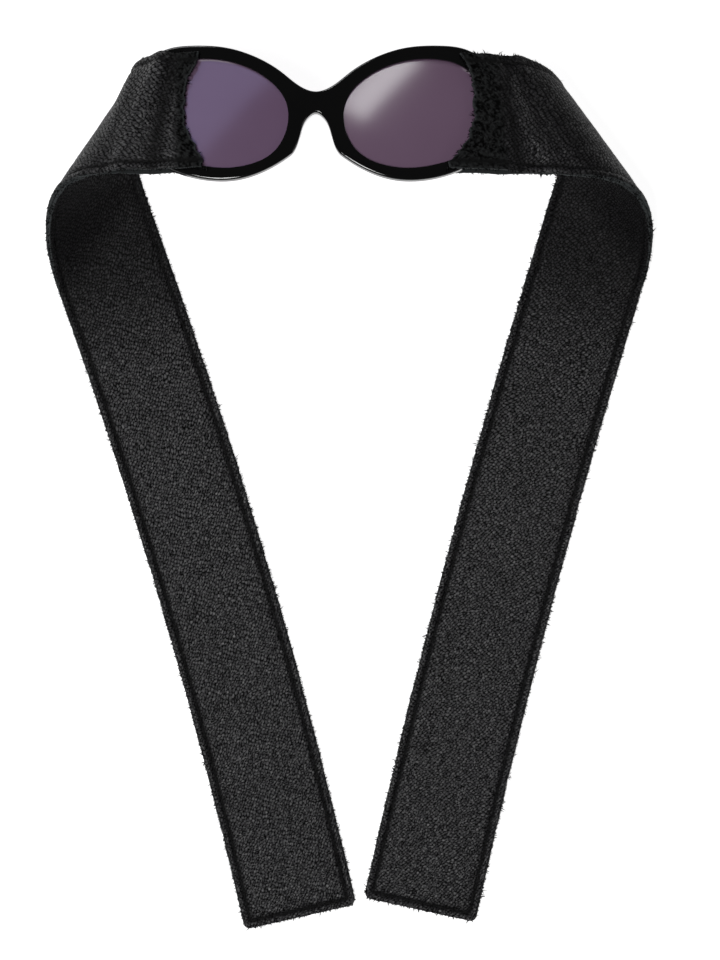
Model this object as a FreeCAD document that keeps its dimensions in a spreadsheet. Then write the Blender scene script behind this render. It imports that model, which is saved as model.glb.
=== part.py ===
import FreeCAD, Part
import Sketcher
import math
import os

# Glasses with an acetate front and two wide two-ply leather tie straps in place of temples.
# Millimetres, +Z up. The straps leave the front sideways, roll under and lie flat at z = 0.
# +Y is the brow side, "left" is -X.

doc = FreeCAD.newDocument("tie_strap_glasses")
sheet = doc.addObject("Spreadsheet::Sheet", "Dimensions")

DIMENSIONS = [
    ("front_x", -13.0, "bridge centre, across the part"),
    ("front_y", 149.8, "bridge centre line, along the part"),
    ("front_height", 62.0, "middle of the acetate at the bridge above the table"),
    ("front_tilt", 9.0, "degrees, brow edge lower"),
    ("front_curve", 425.0, "radius that the front is bowed to"),
    ("front_thick", 4.0, "acetate thickness"),
    ("front_edge_round", 0.8, "rounding of the front's outer edges and notch corners"),
    ("lens_curve", 220.0, "radius of the middle of the lens"),
    ("lens_thick", 2.0, "lens thickness"),
    ("lens_x", 38.9, "lens centre from the bridge"),
    ("lens_y", -1.4, "lens centre from the front's middle line"),
    ("lens_rise", 0.9, "crown of the lens above the middle of the acetate"),
    ("lens_seat", 0.8, "how far the lens edge reaches into the rim"),
    ("pad_width", 3.0, "half width of a nose pad"),
    ("pad_length", 7.4, "half length of a nose pad"),
    ("pad_depth", 5.2, "how far a nose pad stands behind the front"),
    ("pad_x", 8.6, "nose pad from the bridge centre"),
    ("pad_y", -8.0, "nose pad below the front's middle line"),
    ("strap_width", 46.2, "cut width of the leather"),
    ("ply_thick", 1.45, "one leather ply"),
    ("ply_gap", 0.1, "gap between the two plies"),
    ("ply_lift", 2.6, "each ply from the middle of the acetate where they hold the rim"),
    ("rim_reach", 72.0, "rim end from the bridge, along the front"),
    ("ply_close", 14.0, "length over which the plies close up past the rim end"),
    ("left_cut_deep", 51.0, "deepest point of the left strap's concave end"),
    ("left_cut_reach", 8.5, "length of the left strap's prongs"),
    ("left_cut_shift", 2.0, "deepest point off the strap's middle line"),
    ("right_cut_deep", 61.5, "deepest point of the right strap's concave end"),
    ("right_cut_reach", 8.5, "length of the right strap's prongs"),
    ("right_cut_shift", 4.0, "deepest point off the strap's middle line"),
    ("left_bend_start", 62.5, "start of the left roll from the bridge"),
    ("left_bend_length", 100.0, "length of leather in the left roll, first guess"),
    ("left_bend_in", 8.0, "run in which the left roll's bending builds up"),
    ("left_bend_out", 11.5, "run in which the left roll's bending dies out"),
    ("left_bend_first", 0.061, "bending at the front end of the left roll, per mm"),
    ("left_bend_last", 0.048, "bending at the table end of the left roll, per mm"),
    ("left_bend_belly", -0.039, "change of bending in the middle of the left roll"),
    ("left_slant", 0.726, "slope of the left roll's rulings, first guess"),
    ("left_slant_start", 56.0, "where the left rulings begin to slant"),
    ("left_slant_run", 27.0, "run in which the left rulings reach their slant"),
    ("left_sweep", 2220.0, "radius of the left tail's sweep on the table"),
    ("left_tail", 274.0, "left tail beyond the roll, on its middle line"),
    ("right_bend_start", 84.7, "start of the right roll from the bridge"),
    ("right_bend_length", 99.4, "length of leather in the right roll, first guess"),
    ("right_bend_in", 8.7, "run in which the right roll's bending builds up"),
    ("right_bend_out", 11.8, "run in which the right roll's bending dies out"),
    ("right_bend_first", 0.049, "bending at the front end of the right roll, per mm"),
    ("right_bend_last", 0.0435, "bending at the table end of the right roll, per mm"),
    ("right_bend_belly", -0.0273, "change of bending in the middle of the right roll"),
    ("right_slant", 0.757, "slope of the right roll's rulings, first guess"),
    ("right_slant_start", 72.0, "where the right rulings begin to slant"),
    ("right_slant_run", 27.0, "run in which the right rulings reach their slant"),
    ("right_sweep", 3300.0, "radius of the right tail's sweep on the table"),
    ("right_tail", 272.0, "right tail beyond the roll, on its middle line"),
    ("tail_split", 0.5, "share of the tail above the flexing line"),
    ("corner_round", 2.5, "rounding of the tail's two corners"),
    ("stitch_inset", 2.3, "stitch line inside the leather's edge"),
    ("stitch_width", 0.5, "width of the thread"),
    ("stitch_rise", 0.1, "thread above the leather"),
    ("stitch_stop", 0.6, "thread stops this short of a flexing line"),
    ("stitch_gap", 0.45, "thread clear of the curved leather in the roll"),
    ("roll_slack", 0.12, "extra room between each ply and the strap's middle in the roll"),
    ("roll_slack_run", 15.0, "run in which that room closes towards the tail"),
    ("thin_start", 56.0, "where the thinning of the acetate's outer end begins"),
    ("thin_run", 36.0, "length of that thinning along the strap"),
    ("thin_clearance", 0.2, "room between the thinned acetate and the leather"),
]

for row, (name, value, note) in enumerate(DIMENSIONS, start=1):
    sheet.set("A%d" % row, name)
    sheet.set("B%d" % row, str(value))
    sheet.setAlias("B%d" % row, name)
    sheet.set("C%d" % row, note)
doc.recompute()


def size(name):
    return float(sheet.get(name))


SIDES = {"left": -1, "right": 1}
HALF_WIDTH = size("strap_width") / 2
HALF_STACK = size("ply_thick") + size("ply_gap") / 2

front_spot = FreeCAD.Placement(
    FreeCAD.Vector(size("front_x"), size("front_y"), size("front_height")),
    FreeCAD.Rotation(FreeCAD.Vector(1, 0, 0), -size("front_tilt")),
)


# ---------------------------------------------------------------- acetate front and lenses

# Right half of the front's outline from the top of the bridge round to the nasal corner,
# and of the nose notch from the bottom of the bridge to the same corner.
RIM_OUTLINE = [
    (0.0, 7.2), (5.4, 8.9), (13.1, 14.9), (24.8, 21.9), (34.0, 25.0), (48.0, 26.4),
    (59.7, 24.8), (67.0, 19.2), (71.0, 9.8), (71.4, -1.0), (68.6, -11.2), (62.5, -19.0),
    (53.5, -24.2), (41.0, -27.5), (30.0, -27.4), (19.5, -24.0), (9.5, -17.8),
]
NOTCH_OUTLINE = [(0.0, -1.3), (2.7, -2.8), (5.7, -8.8), (9.5, -17.8)]
# Lens opening on the right, once round from its nasal edge over the top.
OPENING = [
    (10.7, -2.5), (13.1, 5.8), (18.5, 11.8), (26.5, 16.8), (35.5, 19.8), (46.0, 20.7),
    (56.0, 18.6), (63.4, 12.0), (66.6, 1.8), (65.0, -8.4), (58.6, -16.2), (48.0, -21.0),
    (36.4, -23.1), (26.0, -22.0), (17.0, -17.6), (12.3, -10.9),
]
BLANK_DEPTH = 30.0


def spline_edge(points, closed=False):
    curve = Part.BSplineCurve()
    places = [FreeCAD.Vector(px, py, -BLANK_DEPTH / 2) for px, py in points]
    curve.interpolate(Points=places, PeriodicFlag=closed)
    return curve.toShape()


def mirrored(half):
    # The half's points on the left, then on the right; its end on the bridge line counts once.
    return [(-px, py) for px, py in reversed(half) if px] + half


def add_feature(label, shape):
    feature = doc.addObject("Part::Feature", label)
    feature.Label = label
    feature.Shape = shape
    return feature


def add_extrusion(label, base):
    solid = doc.addObject("Part::Extrusion", label)
    solid.Base = base
    solid.DirMode = "Custom"
    solid.Dir = FreeCAD.Vector(0, 0, 1)
    solid.LengthFwd = BLANK_DEPTH
    solid.Solid = True
    return solid


def add_cylinder(label, radius_rule):
    # Lying along Y, with the top of the front's middle surface at z = 0.
    solid = doc.addObject("Part::Cylinder", label)
    solid.setExpression("Radius", radius_rule)
    solid.Height = 90
    turn = FreeCAD.Rotation(FreeCAD.Vector(1, 0, 0), 90)
    solid.Placement = FreeCAD.Placement(FreeCAD.Vector(0, 45, -size("front_curve")), turn)
    return solid


def add_sphere(label, radius_rule, side):
    solid = doc.addObject("Part::Sphere", label)
    solid.setExpression("Radius", radius_rule)
    rise = size("lens_rise") - size("lens_x") ** 2 / (2 * size("front_curve"))
    centre = FreeCAD.Vector(0, 0, -size("lens_curve"))
    lean = FreeCAD.Rotation(
        FreeCAD.Vector(0, 1, 0), side * math.degrees(size("lens_x") / size("front_curve")))
    crown = FreeCAD.Vector(side * size("lens_x"), size("lens_y"), rise)
    poles_aside = FreeCAD.Rotation(FreeCAD.Vector(1, 0, 0), 90)
    solid.Placement = FreeCAD.Placement(
        crown + lean.multVec(centre), lean.multiply(poles_aside))
    return solid


def boolean(kind, label, base, tool):
    node = doc.addObject(kind, label)
    node.Base = base
    node.Tool = tool
    return node


outline_edges = [spline_edge(mirrored(half)) for half in (RIM_OUTLINE, NOTCH_OUTLINE)]
outline_wire = Part.Wire(Part.__sortEdges__(outline_edges))
blank = add_extrusion("front_blank", add_feature("front_outline", outline_wire))
skin_front = add_cylinder("front_skin", "Dimensions.front_curve + Dimensions.front_thick / 2")
skin_back = add_cylinder("back_skin", "Dimensions.front_curve - Dimensions.front_thick / 2")
shell = boolean("Part::Cut", "front_shell", skin_front, skin_back)
front_body = boolean("Part::Common", "front_bowed", blank, shell)
doc.recompute()


def opening_wire(side, spread):
    # The lens opening's outline, pushed out from the lens centre by `spread`.
    pushed = []
    for px, py in OPENING:
        reach = math.hypot(px - size("lens_x"), py - size("lens_y"))
        grow = 1 + spread / reach
        pushed.append((
            side * (size("lens_x") + (px - size("lens_x")) * grow),
            size("lens_y") + (py - size("lens_y")) * grow))
    return Part.Wire(spline_edge(pushed, closed=True))


front_shape = front_body.Shape.makeFillet(size("front_edge_round"), front_body.Shape.Edges)
front_body = add_feature("front_rounded", front_shape)
lenses = {}
for name, side in SIDES.items():
    opening, seat = (
        add_extrusion("%s_%s" % (kind, name), add_feature(
            "%s_outline_%s" % (kind, name), opening_wire(side, spread)))
        for kind, spread in (("opening", 0.0), ("seat", size("lens_seat"))))
    dome_front = add_sphere(
        "dome_front_" + name, "Dimensions.lens_curve + Dimensions.lens_thick / 2", side)
    dome_back = add_sphere(
        "dome_back_" + name, "Dimensions.lens_curve - Dimensions.lens_thick / 2", side)
    dome = boolean("Part::Cut", "dome_" + name, dome_front, dome_back)
    lenses[name] = boolean("Part::Common", "lens_blank_" + name, seat, dome)
    front_body = boolean("Part::Cut", "front_open_" + name, front_body, opening)
    front_body = boolean("Part::Cut", "front_groove_" + name, front_body, lenses[name])
doc.recompute()

nodes = []


def add_node(label, shape, placement=None):
    if len(shape.Solids) == 1:
        shape = shape.Solids[0]
    node = add_feature(label, shape)
    if placement:
        node.Placement = placement.multiply(node.Placement)
    nodes.append(node)
    return node


for name, side in SIDES.items():
    add_node("lens_" + name, lenses[name].Shape, front_spot)
    pad = doc.addObject("Part::Ellipsoid", "pad_form_" + name)
    pad.setExpression("Radius1", "Dimensions.pad_depth")
    pad.setExpression("Radius2", "Dimensions.pad_width")
    pad.setExpression("Radius3", "Dimensions.pad_length")
    drop = size("front_thick") / 2 + size("pad_x") ** 2 / (2 * size("front_curve"))
    pad.Placement = FreeCAD.Placement(
        FreeCAD.Vector(side * size("pad_x"), size("pad_y"), -drop),
        FreeCAD.Rotation(FreeCAD.Vector(0, 0, 1), side * 14))
    pad_body = boolean("Part::Common", "pad_body_" + name, pad, skin_back)
    doc.recompute()
    add_node("nose_pad_" + name, pad_body.Shape, front_spot)


# ---------------------------------------------------------------- how a strap is folded

def ease(share):
    share = min(max(share, 0.0), 1.0)
    return share * share * (3 - 2 * share)


class Fold:
    """A flat strip led along the front, round an oblique roll and out onto the table.

    The strip bends about rulings. A ruling crosses the middle line at the distance `along`
    from the bridge with the slope slant(along). Each station holds the point and the three
    directions there: along the strip, across it (brow side) and out of its outer face.
    """

    STEPS = 160
    FIRST = 40.0

    def __init__(self, name):
        self.name = name
        self.side = SIDES[name]
        self.turn = 1.0
        self.slope = self.value("slant")
        self.fan = self.value("slant_start")
        self.length = self.value("bend_length")
        self.close()

    def value(self, name):
        return size(self.name + "_" + name)

    def slant(self, along):
        return self.slope * ease((along - self.fan) / self.value("slant_run"))

    def bending(self, along):
        start = self.value("bend_start")
        if along < start:
            return 1 / size("front_curve") if along < size("rim_reach") else 0.0
        run = along - start
        share = run / self.length
        bend = self.value("bend_first") * (1 - share) + self.value("bend_last") * share
        bend += self.value("bend_belly") * 4 * share * (1 - share)
        bend *= ease(run / self.value("bend_in"))
        bend *= ease((self.length - run) / self.value("bend_out"))
        return bend * self.turn

    def lay(self):
        start = self.value("bend_start")
        self.end = start + self.length
        marks = [self.FIRST + (start - self.FIRST) * i / 40 for i in range(40)]
        marks += [start + self.length * i / self.STEPS for i in range(self.STEPS + 1)]
        angle = self.FIRST / size("front_curve")
        tilt = FreeCAD.Rotation(FreeCAD.Vector(1, 0, 0), -size("front_tilt"))
        bow = FreeCAD.Rotation(FreeCAD.Vector(0, 1, 0), math.degrees(angle))
        turned = tilt.multiply(bow)
        rise = size("front_curve") * (math.cos(angle) - 1)
        spot = FreeCAD.Vector(size("front_curve") * math.sin(angle), 0, rise)
        point = tilt.multVec(spot) + FreeCAD.Vector(0, 0, size("front_height"))
        self.stations = []
        for index, mark in enumerate(marks):
            frame = [turned.multVec(FreeCAD.Vector(*axis)) for axis in
                     ((1, 0, 0), (0, 1, 0), (0, 0, 1))]
            self.stations.append((mark, point, frame))
            if index + 1 == len(marks):
                break
            step = marks[index + 1] - mark
            middle = mark + step / 2
            ruling = frame[1] - frame[0] * self.slant(middle)
            amount = math.degrees(self.bending(middle) * step * ruling.Length)
            turned = FreeCAD.Rotation(ruling, amount).multiply(turned)
            after = turned.multVec(FreeCAD.Vector(1, 0, 0))
            point = point + (frame[0] + after) * (step / 2)

    def miss(self):
        self.lay()
        _, point, frame = self.stations[-1]
        return [frame[2].x * 50, frame[2].y * 50, point.z - HALF_STACK]

    def close(self):
        # Newton steps on turn, fan and length until the tail lies flat on the table.
        for _ in range(8):
            base = self.miss()
            columns = []
            for name, nudge in (("turn", 1e-4), ("fan", 1e-2), ("length", 1e-2)):
                kept = getattr(self, name)
                setattr(self, name, kept + nudge)
                columns.append([(b - a) / nudge for a, b in zip(base, self.miss())])
                setattr(self, name, kept)
            matrix = FreeCAD.Matrix(
                columns[0][0], columns[1][0], columns[2][0], 0,
                columns[0][1], columns[1][1], columns[2][1], 0,
                columns[0][2], columns[1][2], columns[2][2], 0,
                0, 0, 0, 1)
            change = matrix.inverse().multVec(FreeCAD.Vector(*base))
            self.turn -= change.x
            self.fan -= change.y
            self.length -= change.z
        self.lay()

    def at(self, along):
        marks = self.stations
        low, high = 0, len(marks) - 1
        while high - low > 1:
            middle = (low + high) // 2
            if marks[middle][0] <= along:
                low = middle
            else:
                high = middle
        share = (along - marks[low][0]) / (marks[high][0] - marks[low][0])
        point = marks[low][1] * (1 - share) + marks[high][1] * share
        frame = [a * (1 - share) + b * share for a, b in zip(marks[low][2], marks[high][2])]
        return point, frame

    def place(self, along, across, height):
        point, (forward, sideways, outward) = self.at(along)
        point = point + (sideways - forward * self.slant(along)) * across + outward * height
        return FreeCAD.Vector(
            size("front_x") + self.side * point.x, size("front_y") + point.y, point.z)

    def cut_end(self, across):
        # Concave end of the leather on the lens, as a distance from the bridge.
        share = abs(across - self.value("cut_shift")) / HALF_WIDTH
        return self.value("cut_deep") - self.value("cut_reach") * share ** 2.2

    def lift(self, along, across):
        # Inner face of a ply off the strap's middle surface: apart over the rim, then together.
        flat = along - self.slant(along) * across
        share = ease((flat - size("rim_reach")) / size("ply_close"))
        slack = size("roll_slack") * ease((self.end - along) / size("roll_slack_run"))
        return size("ply_lift") * (1 - share) + size("ply_gap") / 2 * share + slack

    def tail_spot(self):
        point = self.place(self.end, 0, 0)
        _, (forward, _, _) = self.at(self.end)
        heading = math.degrees(math.atan2(forward.y, self.side * forward.x))
        return FreeCAD.Placement(
            FreeCAD.Vector(point.x, point.y, 0),
            FreeCAD.Rotation(FreeCAD.Vector(0, 0, 1), heading))

    def tail_point(self, run, across):
        # On the table, in the tail's own frame: x along it, y across it.
        straight = self.slope * HALF_WIDTH
        offset = -self.side * across
        if run <= straight:
            return FreeCAD.Vector(run, offset, 0)
        sweep = self.value("sweep")
        angle = (run - straight) / sweep
        radius = sweep - self.side * offset
        return FreeCAD.Vector(
            straight + radius * math.sin(angle), self.side * (sweep - radius * math.cos(angle)), 0)


def skin(rows):
    surface = Part.BSplineSurface()
    surface.interpolate(rows)
    return surface.toShape()


def band(lower, upper):
    # Ruled face between two edges that run side by side.
    wires = [Part.Wire(edge.Curve.toShape(edge.FirstParameter, edge.LastParameter))
             for edge in (lower, upper)]
    return Part.makeLoft(wires, False, True).Faces[0]


def slab(place, starts, ends, across, low, high, columns=48):
    # A closed strip between two offset surfaces of the folded strap.
    grids = []
    for height in (low, high):
        rows = []
        for v in across:
            row = []
            for index in range(columns + 1):
                along = starts(v) + (ends(v) - starts(v)) * index / columns
                row.append(place(along, v, height(along, v)))
            rows.append(row)
        grids.append(rows)
    bottom, top = (skin(rows) for rows in grids)
    faces = [bottom, top]
    for lower in bottom.Edges:
        spot = lower.valueAt((lower.FirstParameter + lower.LastParameter) / 2)
        upper = min(top.Edges, key=lambda edge: edge.valueAt(
            (edge.FirstParameter + edge.LastParameter) / 2).distanceToPoint(spot))
        faces.append(band(lower, upper))
    shell_shape = Part.makeShell(faces)
    shell_shape.sewShape()
    solid = Part.makeSolid(shell_shape)
    if solid.Volume < 0:
        solid.reverse()
    return solid


def path_pieces(fold, path):
    # Lines and arcs for the sketch through a list of (run, across) corners.
    pieces = []
    for (run_a, v_a), (run_b, v_b) in zip(path, path[1:] + path[:1]):
        begin = fold.tail_point(run_a, v_a)
        finish = fold.tail_point(run_b, v_b)
        straight = fold.slope * HALF_WIDTH
        if v_a == v_b and min(run_a, run_b) >= straight - 1e-9:
            middle = fold.tail_point((run_a + run_b) / 2, v_a)
            pieces.append(Part.Arc(begin, middle, finish))
        else:
            pieces.append(Part.LineSegment(begin, finish))
    return pieces


def add_tail_body(label, fold, path, base, rise_rule, round_corners=None):
    body = doc.addObject("PartDesign::Body", label + "_body")
    plane = [part for part in body.Origin.OriginFeatures if part.Role == "XY_Plane"][0]
    sketch = body.newObject("Sketcher::SketchObject", label + "_outline")
    sketch.AttachmentSupport = [(plane, "")]
    sketch.MapMode = "FlatFace"
    sketch.AttachmentOffset = FreeCAD.Placement(FreeCAD.Vector(0, 0, base), FreeCAD.Rotation())
    for piece in path_pieces(fold, path):
        index = sketch.addGeometry(piece, False)
        sketch.addConstraint(Sketcher.Constraint("Block", index))
    pad_feature = body.newObject("PartDesign::Pad", label + "_pad")
    pad_feature.Profile = sketch
    pad_feature.setExpression("Length", rise_rule)
    body.Tip = pad_feature
    body.Placement = fold.tail_spot()
    doc.recompute()
    if round_corners:
        corners = []
        for index, edge in enumerate(pad_feature.Shape.Edges, start=1):
            upright = abs(edge.tangentAt(edge.FirstParameter).z) > 0.99
            if upright and any(edge.Vertexes[0].Point.distanceToPoint(
                    FreeCAD.Vector(spot.x, spot.y, edge.Vertexes[0].Point.z)) < 0.01
                    for spot in round_corners):
                corners.append("Edge%d" % index)
        fillet = body.newObject("PartDesign::Fillet", label + "_corners")
        fillet.Base = (pad_feature, corners)
        fillet.setExpression("Radius", "Dimensions.corner_round")
        body.Tip = fillet
        doc.recompute()
    body.Label = label
    nodes.append(body)
    return body


FOLDS = {name: Fold(name) for name in SIDES}

# The acetate's outer ends are thinned on their front face, so that the leather turning down
# over them clears them.
front_shape = front_body.Shape.copy()
front_shape.Placement = front_spot.multiply(front_shape.Placement)
across_rows = [-HALF_WIDTH + 2 * HALF_WIDTH * i / 10 for i in range(11)]
for fold in FOLDS.values():
    thinning = slab(
        fold.place, lambda v: size("thin_start"), lambda v: size("thin_start") + size("thin_run"),
        across_rows, lambda a, v: size("ply_lift") - size("thin_clearance"),
        lambda a, v: size("ply_lift") + 2 * size("front_thick"))
    front_shape = front_shape.cut(thinning)
add_node("front_frame", front_shape)

STITCH_LINE = HALF_WIDTH - size("stitch_inset")
STITCH_HALF = size("stitch_width") / 2

for name, fold in FOLDS.items():
    thick = size("ply_thick")

    plies = {
        "outer": (fold.lift, lambda a, v: fold.lift(a, v) + thick),
        "inner": (lambda a, v: -fold.lift(a, v) - thick, lambda a, v: -fold.lift(a, v)),
    }
    for ply, (low, high) in plies.items():
        solid = slab(fold.place, fold.cut_end, lambda v: fold.end, across_rows, low, high)
        add_node("strap_%s_%s_fold" % (name, ply), solid)

    # Thread on the outer face, from the lens end to where the roll nears the table.
    rows = []
    for line in (-STITCH_LINE, STITCH_LINE):
        edges = [line - STITCH_HALF, line, line + STITCH_HALF]
        begin = fold.cut_end(line) + 2.5
        finish = fold.value("bend_start") + fold.length * 0.8
        rows.append(slab(
            fold.place, lambda v, begin=begin: begin, lambda v, finish=finish: finish, edges,
            lambda a, v: fold.lift(a, v) + thick + size("stitch_gap"),
            lambda a, v: fold.lift(a, v) + thick + size("stitch_gap") + size("stitch_rise")))
    add_node("stitch_%s_fold" % name, Part.makeCompound(rows))

    tail = fold.value("tail")
    middle = tail * size("tail_split")
    straight = fold.slope * HALF_WIDTH
    upper = [
        (straight, -HALF_WIDTH), (middle, -HALF_WIDTH), (middle, HALF_WIDTH),
        (straight, HALF_WIDTH), (-straight, HALF_WIDTH),
    ]
    lower = [(middle, -HALF_WIDTH), (tail, -HALF_WIDTH), (tail, HALF_WIDTH), (middle, HALF_WIDTH)]
    tip_corners = [fold.tail_point(tail, v) for v in (-HALF_WIDTH, HALF_WIDTH)]
    upper_base = size("ply_thick") + size("ply_gap")
    for ply, base in (("outer", 0.0), ("inner", upper_base)):
        add_tail_body(
            "strap_%s_%s_tail" % (name, ply), fold, upper, base, "Dimensions.ply_thick")
        add_tail_body(
            "strap_%s_%s_tip" % (name, ply), fold, lower, base, "Dimensions.ply_thick",
            round_corners=tip_corners)

    top = upper_base + size("ply_thick")
    stop = size("stitch_stop")
    strips = []
    for line in (-STITCH_LINE, STITCH_LINE):
        begin = -fold.slope * line + stop
        strips.append([
            (begin, line - STITCH_HALF), (straight, line - STITCH_HALF),
            (middle - stop, line - STITCH_HALF), (middle - stop, line + STITCH_HALF),
            (straight, line + STITCH_HALF), (begin, line + STITCH_HALF)])
    pieces = []
    for strip in strips:
        wire = Part.Wire([piece.toShape() for piece in path_pieces(fold, strip)])
        pieces.append(Part.Face(wire).extrude(FreeCAD.Vector(0, 0, size("stitch_rise"))))
    lifted = fold.tail_spot()
    lifted.Base.z = top
    add_node("stitch_%s_tail" % name, Part.makeCompound(pieces), lifted)

    far = tail - size("stitch_inset")
    u_path = [
        (middle + stop, -STITCH_LINE - STITCH_HALF), (far + STITCH_HALF, -STITCH_LINE - STITCH_HALF),
        (far + STITCH_HALF, STITCH_LINE + STITCH_HALF), (middle + stop, STITCH_LINE + STITCH_HALF),
        (middle + stop, STITCH_LINE - STITCH_HALF), (far - STITCH_HALF, STITCH_LINE - STITCH_HALF),
        (far - STITCH_HALF, -STITCH_LINE + STITCH_HALF), (middle + stop, -STITCH_LINE + STITCH_HALF),
    ]
    wire = Part.Wire([piece.toShape() for piece in path_pieces(fold, u_path)])
    u_strip = Part.Face(wire).extrude(FreeCAD.Vector(0, 0, size("stitch_rise")))
    add_node("stitch_%s_tip" % name, u_strip, lifted)

    hinge = [fold.place(fold.end, v, 0) for v in (-HALF_WIDTH, HALF_WIDTH)]
    flex = [fold.tail_spot().multVec(fold.tail_point(middle, v)) for v in (-HALF_WIDTH, HALF_WIDTH)]
    print(name, "turn %.4f fan %.2f length %.2f" % (fold.turn, fold.fan, fold.length))
    print("  roll-to-tail line", hinge, "flexing line", flex)


# ---------------------------------------------------------------- check and write

doc.recompute()
for item in doc.Objects:
    if "Invalid" in item.State or "Error" in item.State:
        raise RuntimeError("%s is in state %s" % (item.Label, item.State))
os.makedirs("parts", exist_ok=True)
box = FreeCAD.BoundBox()
for node in nodes:
    shape = node.Shape
    if shape.isNull() or not shape.isValid():
        raise RuntimeError("%s has a bad shape" % node.Label)
    box.add(shape.BoundBox)
    shape.exportStep(os.path.join("parts", node.Label + ".step"))
    print("%-26s solids %d volume %.1f" % (node.Label, len(shape.Solids), shape.Volume))
print("nodes", len(nodes), "box", box, box.Center)
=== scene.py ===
"""Glasses with a gloss acetate front, tinted lenses and two-ply leather tie straps, on a table.

Lengths are in millimetres while a strap is worked out, and in metres in every Blender object.
A strap is a flat strip: u runs along it from the bridge, v across it (brow side positive) and
h out of its outer face. Fold leads that strip along the front, round its roll and onto the table.
"""
import math

import bpy
import numpy as np
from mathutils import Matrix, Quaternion, Vector


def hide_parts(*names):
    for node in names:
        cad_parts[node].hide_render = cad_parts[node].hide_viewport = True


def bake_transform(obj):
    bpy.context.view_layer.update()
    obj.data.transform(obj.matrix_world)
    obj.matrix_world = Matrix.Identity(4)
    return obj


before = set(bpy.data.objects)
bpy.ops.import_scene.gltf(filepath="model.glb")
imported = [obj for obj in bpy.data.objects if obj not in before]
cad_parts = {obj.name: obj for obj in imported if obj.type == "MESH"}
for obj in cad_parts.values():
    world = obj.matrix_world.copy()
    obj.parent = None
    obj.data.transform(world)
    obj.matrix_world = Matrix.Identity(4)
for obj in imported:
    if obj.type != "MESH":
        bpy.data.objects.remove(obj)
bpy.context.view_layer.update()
MM = 0.001

# ------------------------------------------------------------------ sizes shared with the CAD

FRONT = np.array([-13.0, 149.8, 62.0])
FRONT_TILT = math.radians(9.0)
FRONT_CURVE = 425.0
HALF_WIDTH = 23.1
PLY_THICK = 1.45
PLY_GAP = 0.1
PLY_LIFT = 2.6
RIM_REACH = 72.0
PLY_CLOSE = 14.0
HALF_STACK = PLY_THICK + PLY_GAP / 2
STITCH_INSET = 3.0
CORNER_ROUND = 2.5
CUT_POWER = 2.2
FLEX_SHARE = 0.5
SIDES = {"left": -1, "right": 1}

STRAPS = {
    "left": {
        "cut_deep": 51.0, "cut_reach": 8.5, "cut_shift": 2.0, "bend_start": 62.5,
        "bend_length": 100.0, "bend_in": 8.0, "bend_out": 11.5, "bend_first": 0.061,
        "bend_last": 0.048, "bend_belly": -0.039, "slant": 0.726, "slant_start": 56.0,
        "slant_run": 27.0, "sweep": 2220.0, "tail": 274.0,
    },
    "right": {
        "cut_deep": 61.5, "cut_reach": 8.5, "cut_shift": 4.0, "bend_start": 84.7,
        "bend_length": 99.4, "bend_in": 8.7, "bend_out": 11.8, "bend_first": 0.049,
        "bend_last": 0.0435, "bend_belly": -0.0273, "slant": 0.757, "slant_start": 72.0,
        "slant_run": 27.0, "sweep": 3300.0, "tail": 272.0,
    },
}


def ease(share):
    share = np.clip(share, 0.0, 1.0)
    return share * share * (3 - 2 * share)


def turning(axis, angle):
    x, y, z = axis / np.linalg.norm(axis)
    cross = np.array([[0, -z, y], [z, 0, -x], [-y, x, 0]])
    return np.eye(3) + math.sin(angle) * cross + (1 - math.cos(angle)) * cross @ cross


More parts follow.
